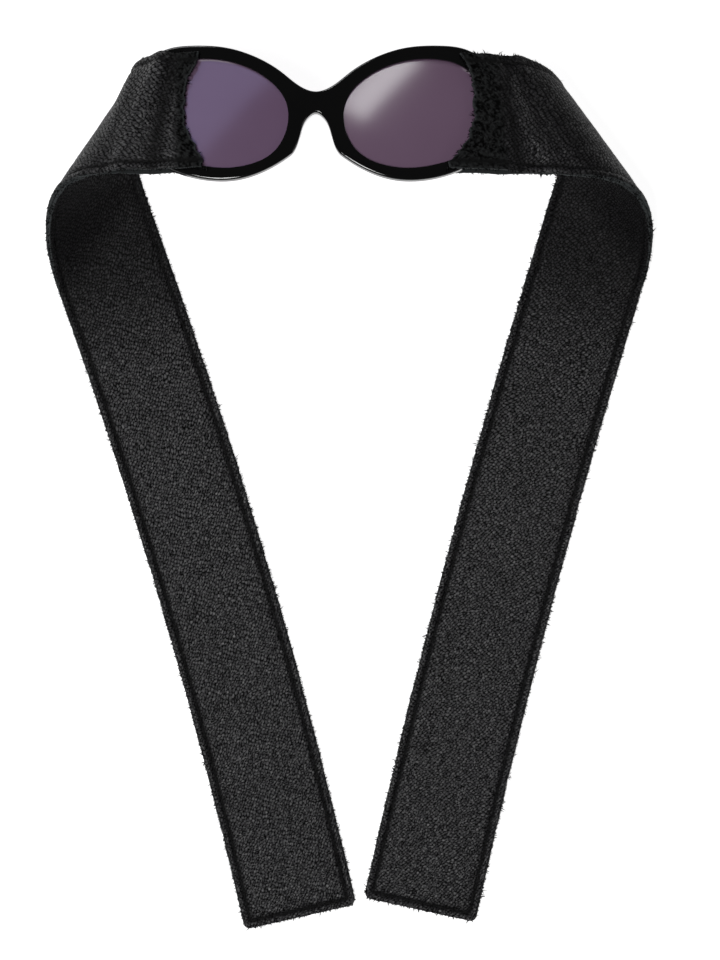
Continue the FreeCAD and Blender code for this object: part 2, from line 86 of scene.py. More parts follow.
class Fold:
    """The same folded strip as in the CAD, evaluated on whole arrays of points.

    FIRST is the u the walk along the strip starts from, with HELD_STEPS up to the roll and
    ROLL_STEPS round it. TILT_WEIGHT turns a tilt of the roll's end into mm of miss.
    """

    FIRST = 40.0
    HELD_STEPS = 40
    ROLL_STEPS = 160
    TILT_WEIGHT = 50.0
    ROUNDS = 8
    NUDGES = (("turn", 1e-4), ("fan", 1e-2), ("length", 1e-2))

    def __init__(self, name):
        self.name = name
        self.side = SIDES[name]
        self.size = STRAPS[name]
        self.turn = 1.0
        self.fan = self.size["slant_start"]
        self.length = self.size["bend_length"]
        self.close()
        self.end = self.size["bend_start"] + self.length
        self.straight = self.size["slant"] * HALF_WIDTH

    def slant(self, along):
        """How far the rulings lean back from square across the strip."""
        return self.size["slant"] * ease((along - self.fan) / self.size["slant_run"])

    def bending(self, along):
        """Curvature per mm at a mark on the middle line."""
        size = self.size
        if along < size["bend_start"]:
            return 1 / FRONT_CURVE if along < RIM_REACH else 0.0
        run = along - size["bend_start"]
        share = run / self.length
        bend = size["bend_first"] * (1 - share) + size["bend_last"] * share
        bend += size["bend_belly"] * 4 * share * (1 - share)
        bend *= ease(run / size["bend_in"]) * ease((self.length - run) / size["bend_out"])
        return bend * self.turn

    def lay(self):
        """Walk the middle line, turning the strip about its rulings."""
        start = self.size["bend_start"]
        marks = [self.FIRST + (start - self.FIRST) * i / self.HELD_STEPS
                 for i in range(self.HELD_STEPS)]
        marks += [start + self.length * i / self.ROLL_STEPS for i in range(self.ROLL_STEPS + 1)]
        angle = self.FIRST / FRONT_CURVE
        tilt = turning(np.array([1.0, 0, 0]), -FRONT_TILT)
        turned = tilt @ turning(np.array([0, 1.0, 0]), angle)
        point = tilt @ np.array([
            FRONT_CURVE * math.sin(angle), 0, FRONT_CURVE * (math.cos(angle) - 1)])
        point = point + np.array([0, 0, FRONT[2]])
        points, frames = [], []
        for index, mark in enumerate(marks):
            points.append(point)
            frames.append(turned.T)
            if index + 1 == len(marks):
                break
            step = marks[index + 1] - mark
            middle = mark + step / 2
            ruling = turned[:, 1] - turned[:, 0] * self.slant(middle)
            amount = self.bending(middle) * step * np.linalg.norm(ruling)
            before = turned[:, 0]
            turned = turning(ruling, amount) @ turned
            point = point + (before + turned[:, 0]) * (step / 2)
        self.marks, self.points, self.frames = np.array(marks), np.array(points), np.array(frames)

    def miss(self):
        """How far the roll's end is from lying level on the table."""
        self.lay()
        outward = self.frames[-1][2]
        return np.array([outward[0] * self.TILT_WEIGHT, outward[1] * self.TILT_WEIGHT,
                         self.points[-1][2] - HALF_STACK])

    def close(self):
        """Solve for the turn, fan and length of the roll that lay its end on the table."""
        for _ in range(self.ROUNDS):
            base = self.miss()
            columns = []
            for name, nudge in self.NUDGES:
                kept = getattr(self, name)
                setattr(self, name, kept + nudge)
                columns.append((self.miss() - base) / nudge)
                setattr(self, name, kept)
            change = np.linalg.solve(np.array(columns).T, base)
            self.turn -= change[0]
            self.fan -= change[1]
            self.length -= change[2]
        self.lay()

    def place(self, u, v, h, lane=None):
        """World points in mm of strip points. lane is the v that picks the ruling, if not v."""
        u, v, h = np.broadcast_arrays(*(np.asarray(a, float) for a in (u, v, h)))
        lane = v if lane is None else np.broadcast_to(np.asarray(lane, float), u.shape)
        along = np.empty(u.shape)
        for value in np.unique(lane):
            mask = lane == value
            flat = self.marks - self.slant(self.marks) * value
            along[mask] = np.interp(u[mask], np.maximum.accumulate(flat), self.marks)
        out = np.empty(u.shape + (3,))
        held = [np.interp(along, self.marks, self.points[:, k]) for k in range(3)]
        axes = [[np.interp(along, self.marks, self.frames[:, a, k]) for k in range(3)]
                for a in range(3)]
        slant = self.slant(along)
        before = u < self.marks[0]
        for k in range(3):
            out[..., k] = held[k] + (axes[1][k] - axes[0][k] * slant) * v + axes[2][k] * h
            out[..., k] += np.where(before, (u - self.marks[0]) * axes[0][k], 0)
        flat = u > self.end - self.size["slant"] * lane
        forward, point = self.frames[-1][0], self.points[-1]
        run, sweep = u - self.end, self.size["sweep"]
        angle = np.maximum(run - self.straight, 0) / sweep
        radius = sweep + v
        ahead = np.where(run > self.straight, self.straight + radius * np.sin(angle), run)
        aside = np.where(run > self.straight, -(sweep - radius * np.cos(angle)), v)
        sideways = np.array([forward[1], -forward[0], 0])
        for k in range(2):
            lying = point[k] + forward[k] * ahead + sideways[k] * aside
            out[..., k] = np.where(flat, lying, out[..., k])
        out[..., 2] = np.where(flat, HALF_STACK - h, out[..., 2])
        out[..., 0] = FRONT[0] + self.side * out[..., 0]
        out[..., 1] += FRONT[1]
        return out

    def cut_end(self, v):
        """The u of the end cut to a curve on the lens."""
        share = np.abs(v - self.size["cut_shift"]) / HALF_WIDTH
        return self.size["cut_deep"] - self.size["cut_reach"] * share ** CUT_POWER

    def tip_end(self, v):
        """The u of the free end with its rounded corners."""
        over = np.clip(np.abs(v) - (HALF_WIDTH - CORNER_ROUND), 0, CORNER_ROUND)
        cut = CORNER_ROUND - np.sqrt(np.maximum(CORNER_ROUND ** 2 - over ** 2, 0))
        return self.end + self.size["tail"] - cut

    def lift(self, u):
        """Half the gap between the plies, which hold the rim between them."""
        share = ease((u - RIM_REACH) / PLY_CLOSE)
        return PLY_LIFT * (1 - share) + PLY_GAP / 2 * share


FOLDS = {name: Fold(name) for name in SIDES}


# ------------------------------------------------------------------ camera and stage

CAMERA_OFFSET = np.array([17.1, -143.5])
CAMERA_HEIGHT = 1.3
VIEW_WIDTH = 0.2934
SENSOR = 36.0

camera_data = bpy.data.cameras.new("camera")
camera_data.sensor_fit = "HORIZONTAL"
camera_data.sensor_width = SENSOR
camera_data.lens = SENSOR * CAMERA_HEIGHT / VIEW_WIDTH
camera_data.clip_end = 20
camera = bpy.data.objects.new("camera", camera_data)
bpy.context.scene.collection.objects.link(camera)
camera.location = (
    (FRONT[0] + CAMERA_OFFSET[0]) * MM, (FRONT[1] + CAMERA_OFFSET[1]) * MM, CAMERA_HEIGHT)
bpy.context.scene.camera = camera


# ------------------------------------------------------------------ node helpers

def feed(tree, made, inputs):
    """Link or set each input of a node, as it is given a socket or a value."""
    for key, value in inputs.items():
        if isinstance(value, bpy.types.NodeSocket):
            tree.links.new(value, made.inputs[key])
        else:
            made.inputs[key].default_value = value


def new_material(name):
    material = bpy.data.materials.new(name)
    material.use_nodes = True
    tree = material.node_tree
    tree.nodes.clear()
    output = tree.nodes.new("ShaderNodeOutputMaterial")
    shader = tree.nodes.new("ShaderNodeBsdfPrincipled")
    tree.links.new(shader.outputs[0], output.inputs["Surface"])
    return material, tree, shader


def node(tree, kind, inputs=None, **settings):
    made = tree.nodes.new("ShaderNode" + kind)
    for key, value in settings.items():
        setattr(made, key, value)
    feed(tree, made, inputs or {})
    return made


def math_node(tree, operation, a, b):
    return node(tree, "Math", {0: a, 1: b}, operation=operation).outputs[0]


def mix_colour(tree, factor, a, b):
    return node(tree, "Mix", {0: factor, 6: a, 7: b}, data_type="RGBA").outputs[2]


def mix_value(tree, factor, a, b):
    return node(tree, "Mix", {0: factor, 2: a, 3: b}, data_type="FLOAT").outputs[0]


def noise(tree, place, scale, **inputs):
    return node(tree, "TexNoise", {"Vector": place, "Scale": scale, **inputs}).outputs["Fac"]


def cells(tree, place, scale):
    return node(tree, "TexVoronoi", {"Vector": place, "Scale": scale},
                feature="DISTANCE_TO_EDGE").outputs["Distance"]


def ramp(tree, source, low, high):
    return node(tree, "MapRange", {"Value": source, "From Min": low, "From Max": high},
                interpolation_type="SMOOTHSTEP").outputs["Result"]


def grey(value, tint=(1.0, 1.0, 1.0)):
    return (value * tint[0], value * tint[1], value * tint[2], 1.0)


# ------------------------------------------------------------------ materials

COOL_NAP = (0.88, 1.0, 1.05)
COOL_CUT = (0.9, 1.0, 1.03)


def leather_material():
    """Black pebbled leather on the strip's own flat coordinates, with suede and raw edges.

    Four painted values say how napped a point is, how much cut edge, how much stitch channel and
    painted shade it has, and how high a pebble of the grain stands there.
    """
    material, tree, shader = new_material("leather")
    flat = node(tree, "UVMap", uv_map="strip").outputs[0]
    suede, raw, groove, pebble = (
        node(tree, "Attribute", attribute_name=name).outputs["Fac"]
        for name in ("suede", "raw_edge", "groove", "pebble"))
    warp = node(tree, "TexNoise", {"Vector": flat, "Scale": 90.0, "Detail": 2.0})
    shifted = node(tree, "VectorMath", {0: warp.outputs["Color"], 1: (0.5, 0.5, 0.5)},
                   operation="SUBTRACT").outputs[0]
    shifted = node(tree, "VectorMath", {0: shifted, "Scale": 0.0022},
                   operation="SCALE").outputs[0]
    bent = node(tree, "VectorMath", {0: flat, 1: shifted}, operation="ADD").outputs[0]
    pebble_top = ramp(tree, cells(tree, bent, 1050.0), 0.0, 0.32)
    small_top = ramp(tree, cells(tree, bent, 2100.0), 0.0, 0.3)
    fine = noise(tree, flat, 5200.0, Detail=3.0, Roughness=0.6)
    broad = noise(tree, flat, 55.0, Detail=3.0)
    nap = noise(tree, flat, 1900.0, Detail=5.0, Roughness=0.75)

    height = math_node(tree, "MULTIPLY", pebble_top, 0.55)
    height = math_node(tree, "ADD", height, math_node(tree, "MULTIPLY", small_top, 0.25))
    height = math_node(tree, "ADD", height, math_node(tree, "MULTIPLY", fine, 0.16))
    rough_zone = math_node(tree, "MAXIMUM", suede, raw)
    height = mix_value(tree, rough_zone, height, math_node(tree, "MULTIPLY", nap, 1.5))
    bump = node(tree, "Bump", {"Height": height, "Strength": 1.0, "Distance": 0.00016})

    crown = ramp(tree, pebble, 0.2, 0.95)
    # Painted shade and light: the grain's colour is near black in the pebbles' valleys and
    # lighter on their crowns, with a broad random tone.
    painted_valley_shade_and_tone = math_node(tree, "MULTIPLY", crown, ramp(tree, broad, -0.3, 0.75))
    grain = mix_colour(tree, painted_valley_shade_and_tone, grey(0.0012), grey(0.030, (1, 0.96, 1.12)))
    nap_light = math_node(tree, "MULTIPLY", ramp(tree, nap, 0.3, 0.66), crown)
    napped = mix_colour(tree, nap_light, grey(0.0012), grey(0.019, COOL_NAP))
    cut = mix_colour(tree, nap, grey(0.012, COOL_CUT), grey(0.12, COOL_CUT))
    colour = mix_colour(tree, suede, grain, napped)
    colour = mix_colour(tree, raw, colour, cut)
    # Darker colour in the stitch channels, and painted shade in the drape's hollows and towards
    # the roll.
    colour = mix_colour(tree, math_node(tree, "MULTIPLY", groove, 0.75), colour, grey(0.003))

    rough = mix_value(tree, crown, 0.6, 0.27)
    rough = math_node(tree, "ADD", rough, math_node(tree, "MULTIPLY", broad, 0.1))
    rough = mix_value(tree, raw, mix_value(tree, suede, rough, 0.6), 0.92)
    spark = ramp(tree, noise(tree, flat, 650.0), 0.35, 0.68)
    gloss = mix_value(tree, crown, 0.06, mix_value(tree, spark, 0.5, 1.7))
    gloss = mix_value(tree, suede, gloss, math_node(tree, "MULTIPLY", crown, 0.35))
    # Gloss drops low on raw edges, in the stitch channels and in the painted shade.
    gloss = mix_value(tree, math_node(tree, "MAXIMUM", raw, groove), gloss, 0.12)
    feed(tree, shader, {
        "Base Color": colour, "Roughness": rough, "Normal": bump.outputs[0],
        "Specular IOR Level": gloss, "Sheen Weight": mix_value(tree, rough_zone, 0.0, 0.05),
        "Sheen Roughness": 0.5})
    return material


def thread_material():
    """Near-black waxed thread with a slanting twist."""
    material, tree, shader = new_material("thread")
    place = node(tree, "TexCoord").outputs["Object"]
    twist = node(tree, "TexWave", {"Vector": place, "Scale": 900.0, "Distortion": 2.0},
                 wave_type="BANDS", bands_direction="DIAGONAL").outputs["Fac"]
    bump = node(tree, "Bump", {"Height": twist, "Strength": 0.6, "Distance": 0.00008})
    feed(tree, shader, {
        "Base Color": mix_colour(tree, twist, grey(0.0015), grey(0.009, (0.96, 0.98, 1.05))),
        "Normal": bump.outputs[0], "Roughness": 0.6, "Specular IOR Level": 0.25})
    return material


def acetate_material():
    """Polished black acetate: a hard gloss with a very slight waviness and faint clouding."""
    material, tree, shader = new_material("acetate")
    place = node(tree, "TexCoord").outputs["Object"]
    wave = noise(tree, place, 160.0, Detail=1.0)
    cloud = noise(tree, place, 45.0, Detail=4.0)
    bump = node(tree, "Bump", {"Height": wave, "Strength": 0.15, "Distance": 0.0004})
    feed(tree, shader, {
        "Base Color": mix_colour(tree, cloud, grey(0.0008), grey(0.0024, (0.95, 0.95, 1.1))),
        "Roughness": mix_value(tree, cloud, 0.05, 0.11), "Normal": bump.outputs[0],
        "Coat Weight": 0.6, "Coat Roughness": 0.03})
    return material


def lens_material():
    """Purple tinted lens: deep colour with faint clouding under a smooth front."""
    material, tree, shader = new_material("lens")
    place = node(tree, "TexCoord").outputs["Object"]
    cloud = noise(tree, place, 30.0, Detail=2.0)
    feed(tree, shader, {
        "Base Color": mix_colour(tree, cloud, (0.177, 0.107, 0.171, 1), (0.205, 0.132, 0.203, 1)),
        "Roughness": 0.14, "IOR": 1.6})
    return material


LEATHER = leather_material()
THREAD = thread_material()
ACETATE = acetate_material()
LENS = lens_material()


# ------------------------------------------------------------------ surface relief of the leather

LATTICE = 256
SEED_MARGIN, SEED_SPREAD = 0.14, 0.72
GRAIN_COS, GRAIN_SIN = 0.82, 0.57
PEBBLE_SIZE = 1.12
PEBBLE_HIGH = 0.30
PEBBLE_STEEP = 3.6
GROOVE_DEEP = 0.5
NAP_HIGH = 0.28
EDGE_FADE = 0.9

# The line on which the outer face sinks and the line on which it stands up next, each as its u at
# v = 0 and its lean, and how much painted shade darkens the face past them.
HOLLOW = {"left": (59.4, 0.20), "right": (75.5, 0.15)}
CREST = {"left": (67.0, 0.42), "right": (80.5, 0.60)}
ROLL_PAINTED_SHADE = {"left": 0.45, "right": 0.8}


def bell(away, wide):
    """1 on a line, falling to nearly nothing at twice this width from it."""
    return np.exp(-(away / wide) ** 2)


def lattice(x, y, cell):
    """A point's place on a grid of square cells, and the cell it is in."""
    gx, gy = x / cell, y / cell
    return gx, gy, np.floor(gx).astype(int), np.floor(gy).astype(int)


def lattice_noise(x, y, cell, seed):
    """Smooth value noise between 0 and 1."""
    table = np.random.default_rng(seed).random((LATTICE, LATTICE))
    gx, gy, ix, iy = lattice(x, y, cell)
    fx, fy = ease(gx - ix), ease(gy - iy)
    values = [[table[(ix + i) % LATTICE, (iy + j) % LATTICE] for j in (0, 1)] for i in (0, 1)]
    low = values[0][0] * (1 - fy) + values[0][1] * fy
    high = values[1][0] * (1 - fy) + values[1][1] * fy
    return low * (1 - fx) + high * fx


def cell_edges(x, y, cell, seed):
    """How far a point is from the border between its two nearest seeds, in cells."""
    jitter = np.random.default_rng(seed).random((LATTICE, LATTICE, 2))
    gx, gy, ix, iy = lattice(x, y, cell)
    first = np.full(x.shape, np.inf)
    second = np.full(x.shape, np.inf)
    for i in (-1, 0, 1):
        for j in (-1, 0, 1):
            seeds = SEED_MARGIN + SEED_SPREAD * jitter[(ix + i) % LATTICE, (iy + j) % LATTICE]
            away = np.hypot(ix + i + seeds[..., 0] - gx, iy + j + seeds[..., 1] - gy)
            second = np.minimum(second, np.maximum(first, away))
            first = np.minimum(first, away)
    return second - first


def edge_distance(fold, u, v):
    return np.minimum(HALF_WIDTH - np.abs(v), fold.end + fold.size["tail"] - u)


def grain_relief(fold, u, v, seed):
    """Height of the grain side over its smooth middle surface in mm, and how high a pebble is.

    Pebbles and two nets of creases run askew over the strip and wander; then come broad waves,
    and last what the edge does: a sunk stitch channel, a padded rim outside it and a rounded
    corner.
    """
    inset = edge_distance(fold, u, v)
    creased = np.clip((u - fold.end) / fold.size["tail"], 0, 1)
    askew_u = u * GRAIN_COS + v * GRAIN_SIN * fold.side
    askew_v = v * GRAIN_COS - u * GRAIN_SIN * fold.side
    stretch = 1.5 - 0.2 * creased
    wander = lattice_noise(u, v, 6.0, seed + 1) * 1.4
    pebble = cell_edges(askew_u / stretch + wander, askew_v + wander, PEBBLE_SIZE, seed + 2)
    top = 1 - np.exp(-PEBBLE_STEEP * pebble)
    relief = PEBBLE_HIGH * top
    crease = cell_edges(askew_u * 0.55 + wander * 2, askew_v * 1.1 - wander, 6.5, seed + 3)
    relief -= (0.08 + 0.16 * creased) * bell(crease, 0.09)
    crease = cell_edges(askew_u * 1.1 - wander, askew_v * 0.7 + wander * 2, 9.0, seed + 4)
    relief -= (0.05 + 0.15 * creased) * bell(crease, 0.07)
    relief += 0.22 * (lattice_noise(u, v, 16.0, seed + 5) - 0.5)
    relief += 0.12 * (lattice_noise(u, v, 6.0, seed + 6) - 0.5)
    relief *= ease(inset / EDGE_FADE)
    relief -= GROOVE_DEEP * bell(inset - STITCH_INSET, 0.85)
    relief -= 0.16 * bell(inset - STITCH_INSET - 1.2, 1.8)
    relief += 0.12 * bell(inset - 1.2, 0.8)
    relief -= 0.35 * bell(inset, 0.3)
    return relief, top


def crease_lines(fold, v):
    return [start - lean * v for start, lean in (HOLLOW[fold.name], CREST[fold.name])]


def drape(fold, u, v):
    """Larger shapes of the leather where it is held on the rim and the lens, in mm."""
    hollow, crest = crease_lines(fold, v)
    if fold.name == "left":
        shape = -0.8 * bell(u - hollow, 2.8)
        shape += 1.25 * bell(u - crest, 3.0)
        shape -= 0.65 * bell(u - crest - 7.5, 3.0)
    else:
        shape = 0.55 * bell(u - 71.0, 1.7) * ease((v + 8) / 14)
        shape -= 0.5 * bell(u - hollow, 2.6) * ease((v + 16) / 20)
        shape += 0.8 * bell(u - crest, 3.0)
        shape -= 0.6 * bell(u - crest - 7.0, 3.2)
    return shape


def painted_shade_zone(fold, ply, u, v):
    """Painted shade: how matt and dark a face is in the drape's hollows, towards the roll and
    just past it.
    """
    if ply == "inner":
        return 0.78 * (1 - ease((u - fold.end + 10) / 62))
    hollow, crest = crease_lines(fold, v)
    shade = 0.85 * bell(u - hollow, 3.4)
    shade += 0.35 * bell(u - crest - 7.2, 2.8)
    shade += ROLL_PAINTED_SHADE[fold.name] * ease((u - crest - 3) / 14)
    return np.clip(shade, 0, 0.9)


def suede_zone(fold, u, v):
    """Where the leather's end is napped rather than grained: near the lens."""
    if fold.name == "left":
        border = 53.5 + 1.5 * lattice_noise(u, v, 3.0, 71)
    else:
        border = 69.5 - 0.10 * (v - 18) + 2.0 * lattice_noise(u, v, 3.0, 72)
    return 1 - ease((u - border) / 4.0 + 0.5)


# ------------------------------------------------------------------ mesh helpers

def add_mesh(name, points, faces, material):
    """A smooth shaded object in metres from points in mm."""
    mesh = bpy.data.meshes.new(name)
    mesh.from_pydata((np.asarray(points) * MM).tolist(), [], faces)
    mesh.materials.append(material)
    mesh.polygons.foreach_set("use_smooth", [True] * len(mesh.polygons))
    piece = bpy.data.objects.new(name, mesh)
    bpy.context.scene.collection.objects.link(piece)
    return piece


def paint(piece, **layers):
    """The values at each point that the leather material reads."""
    for name, values in layers.items():
        layer = piece.data.attributes.new(name, "FLOAT", "POINT")
        layer.data.foreach_set("value", np.asarray(values, np.float32).ravel())


def lay_flat_map(piece, u, v):
    """Map each point to its place on the unfolded strip."""
    layer = piece.data.uv_layers.new(name="strip")
    loops = np.empty(len(piece.data.loops), int)
    piece.data.loops.foreach_get("vertex_index", loops)
    flat = np.stack([u[loops], v[loops]], axis=1) * MM
    layer.data.foreach_set("uv", flat.astype(np.float32).ravel())


def local_frame(fold, u, v, height):
    """Point and unit directions (along, across, out) of the strip, for small details on it."""
    point = fold.place(u, v, height)
    along = fold.place(u + 0.2, v, height) - point
    out = fold.place(u, v, height + 0.5) - point
    along /= np.linalg.norm(along, axis=-1, keepdims=True)
    out /= np.linalg.norm(out, axis=-1, keepdims=True)
    across = np.cross(out, along)
    return point, along, across, out


# ------------------------------------------------------------------ the leather plies

SPLIT_RUN = 70.0
FACING = {"outer": 1, "inner": -1}
SEEDS = {("left", "outer"): 10, ("right", "outer"): 40,
         ("left", "inner"): 110, ("right", "inner"): 140}
PRONG_SPAN = {"left": (-19.5, 20.5), "right": (-20.5, 23.1)}
GRAIN_STEP = 0.4
BACK_STEP = 1.1
END_STEP = 0.01
EDGE_BEVEL = 0.18
EDGE_SHARES = np.array([0.86, 0.62, 0.38, 0.14])
BACK_RAW = 0.6
ROLL_FOOT = 6.0
FLOOR_ROOM = 0.02


def ply_loop():
    """Once round a ply's cross-section: v, share of the thickness, and how raw it is."""
    inner = HALF_WIDTH - EDGE_BEVEL
    across = np.linspace(-inner, inner, int(2 * inner / GRAIN_STEP) + 1)
    back = np.linspace(inner, -inner, int(2 * inner / BACK_STEP) + 1)
    cut = np.ones(len(EDGE_SHARES))
    v = np.concatenate([across, HALF_WIDTH * cut, back, -HALF_WIDTH * cut])
    share = np.concatenate([
        np.ones(len(across)), EDGE_SHARES, np.zeros(len(back)), EDGE_SHARES[::-1]])
    raw = np.concatenate([np.zeros(len(across)), cut, np.full(len(back), BACK_RAW), cut])
    return v, share, raw


def ply_ends(fold, part, v, seed):
    """The u at which a piece of a ply begins and finishes: a torn cut, the split, the tip."""
    split = np.full(v.shape, fold.end + SPLIT_RUN)
    if part == "lower":
        return split, fold.tip_end(v)
    torn = 1.1 * lattice_noise(v, 0 * v, 0.9, seed + 8)
    torn += 1.2 * lattice_noise(v, 0 * v, 3.5, seed + 9)
    blunt = np.clip(v, *PRONG_SPAN[fold.name])
    return fold.cut_end(blunt) - torn + 1.0, split


def end_cap(v, share, base):
    """Faces closing one end: triangles between the grain side and the back, and both edges."""
    top = np.nonzero(share == 1)[0].tolist()
    low = np.nonzero(share == 0)[0][::-1].tolist()
    faces = []
    i, j = 0, 0
    while i + 1 < len(top) or j + 1 < len(low):
        if j + 1 == len(low) or (i + 1 < len(top) and v[top[i + 1]] <= v[low[j + 1]]):
            faces.append([top[i], top[i + 1], low[j]])
            i += 1
        else:
            faces.append([top[i], low[j + 1], low[j]])
            j += 1
    faces.append(list(range(top[-1], low[-1] + 1)))
    faces.append(list(range(low[0], len(v))) + [0])
    return [[base + k for k in face] for face in faces]


def ply_faces(v, share, count):
    """The quads round count steps of a ply, and the faces of its two caps."""
    wide = len(v)
    rows, columns = np.meshgrid(np.arange(count), np.arange(wide), indexing="ij")
    a = rows * wide + columns
    b = rows * wide + (columns + 1) % wide
    quads = np.stack([a, b, b + wide, a + wide], axis=-1).reshape(-1, 4).tolist()
    caps = [cap[::-1] for cap in end_cap(v, share, 0)] + end_cap(v, share, count * wide)
    return quads, caps


def ply_mesh(fold, ply, part):
    """One piece of one ply, and its mean length in metres."""
    facing, seed = FACING[ply], SEEDS[fold.name, ply]
    v, share, raw = ply_loop()
    begin, finish = ply_ends(fold, part, v, seed)
    longest = np.max(finish - begin)
    count = int(longest / GRAIN_STEP)
    steps = np.linspace(0, 1, count + 1)[:, None]
    steps[1] = END_STEP / longest
    steps[-2] = 1 - steps[1]
    u = begin + (finish - begin) * steps
    lane = np.broadcast_to(v, u.shape)

    edge = 0.16 * (lattice_noise(u, lane * 3, 0.7, seed + 10) - 0.5)
    edge += 0.5 * (lattice_noise(u, lane * 3, 9.0, seed + 11) - 0.5)
    spread = lane + np.sign(lane) * np.where(np.abs(lane) > HALF_WIDTH - 1.5, edge, 0)
    grain_side = share == 1
    relief, pebble = grain_relief(fold, u, lane, seed)
    suede = suede_zone(fold, u, lane)
    nap = lattice_noise(u, lane, 0.5, seed + 12) + 0.4 * lattice_noise(u, lane, 1.5, seed + 13)
    pebble = pebble * (1 - suede) + np.clip(nap * 0.9 - 0.1, 0, 1) * suede
    relief = relief * (1 - 0.8 * suede) + NAP_HIGH * nap * suede
    height = fold.lift(u) + share * PLY_THICK + relief * grain_side
    height = facing * height + drape(fold, u, lane)
    if ply == "outer":
        lying = grain_side & (u > fold.end - fold.size["slant"] * lane - ROLL_FOOT)
        height = np.where(lying, np.minimum(height, HALF_STACK - FLOOR_ROOM), height)
    points = fold.place(u, spread, height, lane).reshape(-1, 3)

    quads, caps = ply_faces(v, share, count)
    faces = quads + caps
    if facing * fold.side > 0:
        faces = [face[::-1] for face in faces]
    piece = add_mesh("leather_%s_%s_%s" % (fold.name, ply, part), points, faces, LEATHER)
    for cap in piece.data.polygons[len(quads):]:
        cap.use_smooth = False
    if part == "upper":
        raw_end = (1 - ease((u - begin) / 0.9)) * 0.8
    else:
        raw_end = steps >= 1.0
    groove = bell(edge_distance(fold, u, lane) - STITCH_INSET, 1.1)
    # Painted shade in the drape's hollows and towards the roll joins the stitch channels'
    # darkening.
    groove = np.maximum(groove, painted_shade_zone(fold, ply, u, lane))
    paint(piece, raw_edge=np.maximum(raw, raw_end), suede=suede, groove=groove * grain_side,
          pebble=pebble * grain_side)
    lay_flat_map(piece, u.ravel(), lane.ravel())
    return piece, float(np.mean(finish - begin)) * MM


# ------------------------------------------------------------------ stitches

STITCH_PITCH = 3.1
STITCH_HALF = 1.4
STITCH_SUNK = 0.30
FIRST_STITCH = 4
FIRST_INNER_STITCH = 6
LAST_OUTER_STITCH = 10
THREAD_WIDE, THREAD_HIGH = 0.27, 0.24
THREAD_LEAN, THREAD_DIVE = 0.10, 0.22
RINGS, SEGMENTS = 9, 8


def stitch_marks(fold, part):
    """u, v and whether it runs across the strip, of every stitch of a part."""
    split = fold.end + SPLIT_RUN
    far = fold.end + fold.size["tail"] - STITCH_INSET
    line = HALF_WIDTH - STITCH_INSET
    rows = []
    for v in (-line, line):
        if part == "upper":
            u = np.arange(float(fold.cut_end(v)) + FIRST_STITCH, split, STITCH_PITCH)
        else:
            u = np.arange(split + STITCH_PITCH / 2, far, STITCH_PITCH)
        rows.append((u, np.full(len(u), v), np.zeros(len(u), bool)))
    if part == "lower":
        v = np.arange(-line + STITCH_PITCH / 2, line, STITCH_PITCH)
        rows.append((np.full(len(v), far), v, np.ones(len(v), bool)))
    return [np.concatenate(column) for column in zip(*rows)]


def stitch_mesh(fold, part):
    """Rows of stitches in the grooves of both faces, but not where a face lies on the table."""
    u, v, crosswise = stitch_marks(fold, part)
    crosswise = crosswise[:, None]
    points, faces = [], []
    for facing in (1, -1):
        height = facing * (fold.lift(u) + PLY_THICK - STITCH_SUNK) + drape(fold, u, v)
        if facing == 1:
            keep = u < fold.end - fold.size["slant"] * v - LAST_OUTER_STITCH
        else:
            keep = u > fold.cut_end(v) + FIRST_INNER_STITCH
        spot, along, across, out = local_frame(fold, u, v, height)
        along, across = (
            np.where(crosswise, across, along), np.where(crosswise, along, across))
        for index in np.nonzero(keep)[0]:
            base = len(points)
            for ring in range(RINGS):
                share = -1 + 2 * ring / (RINGS - 1)
                taper = math.sqrt(max(1 - abs(share) ** 3.0, 0.02))
                for segment in range(SEGMENTS):
                    angle = 2 * math.pi * segment / SEGMENTS
                    aside = THREAD_WIDE * taper * math.cos(angle) + THREAD_LEAN * share
                    rise = THREAD_HIGH * taper * math.sin(angle) - THREAD_DIVE * share ** 4
                    points.append(spot[index] + along[index] * share * STITCH_HALF
                                  + across[index] * aside + facing * out[index] * rise)
            for ring in range(RINGS - 1):
                near, far = base + ring * SEGMENTS, base + (ring + 1) * SEGMENTS
                for segment in range(SEGMENTS):
                    after = (segment + 1) % SEGMENTS
                    faces.append((near + segment, near + after, far + after, far + segment))
            faces.append(tuple(range(base + SEGMENTS - 1, base - 1, -1)))
            last = base + (RINGS - 1) * SEGMENTS
            faces.append(tuple(range(last, last + SEGMENTS)))
    return add_mesh("thread_%s_%s" % (fold.name, part), points, faces, THREAD)


# ------------------------------------------------------------------ loose fibres on the cut edges

FIBRES_PER_MM = 2.2
FIBRE_SUNK = 0.3
FIBRE_CORNERS = (0.0, 2.1, 4.2)
FIBRE_POINTS = 2 * len(FIBRE_CORNERS) + 1
FIBRE_FLOOR = 0.02
FUZZ_SEED = 20


def fibre_roots(fold, part, rng):
    """u, v, heading (forward, aside) and facing of the fibres on both plies' cut edges."""
    split = fold.end + SPLIT_RUN
    tip = fold.end + fold.size["tail"]
    spots = []
    for facing in (1, -1):
        for sign in (-1, 1):
            first = float(fold.cut_end(sign * HALF_WIDTH)) if part == "upper" else split
            last = split if part == "upper" else tip - 1.5
            number = int((last - first) * FIBRES_PER_MM)
            u = rng.uniform(first, last, number)
            spots.append((u, np.full(number, sign * HALF_WIDTH), np.zeros(number),
                          np.full(number, float(sign)), np.full(number, facing)))
        number = int(2 * HALF_WIDTH * FIBRES_PER_MM)
        v = np.round(rng.uniform(-HALF_WIDTH + 1, HALF_WIDTH - 1, number), 1)
        if part == "upper":
            blunt = np.clip(v, *PRONG_SPAN[fold.name])
            u, forward = fold.cut_end(blunt) + rng.uniform(-0.4, 0.8, number), -1.0
        else:
            u, forward = np.full(number, tip), 1.0
        spots.append((u, v, np.full(number, forward), np.zeros(number), np.full(number, facing)))
    return [np.concatenate(column) for column in zip(*spots)]


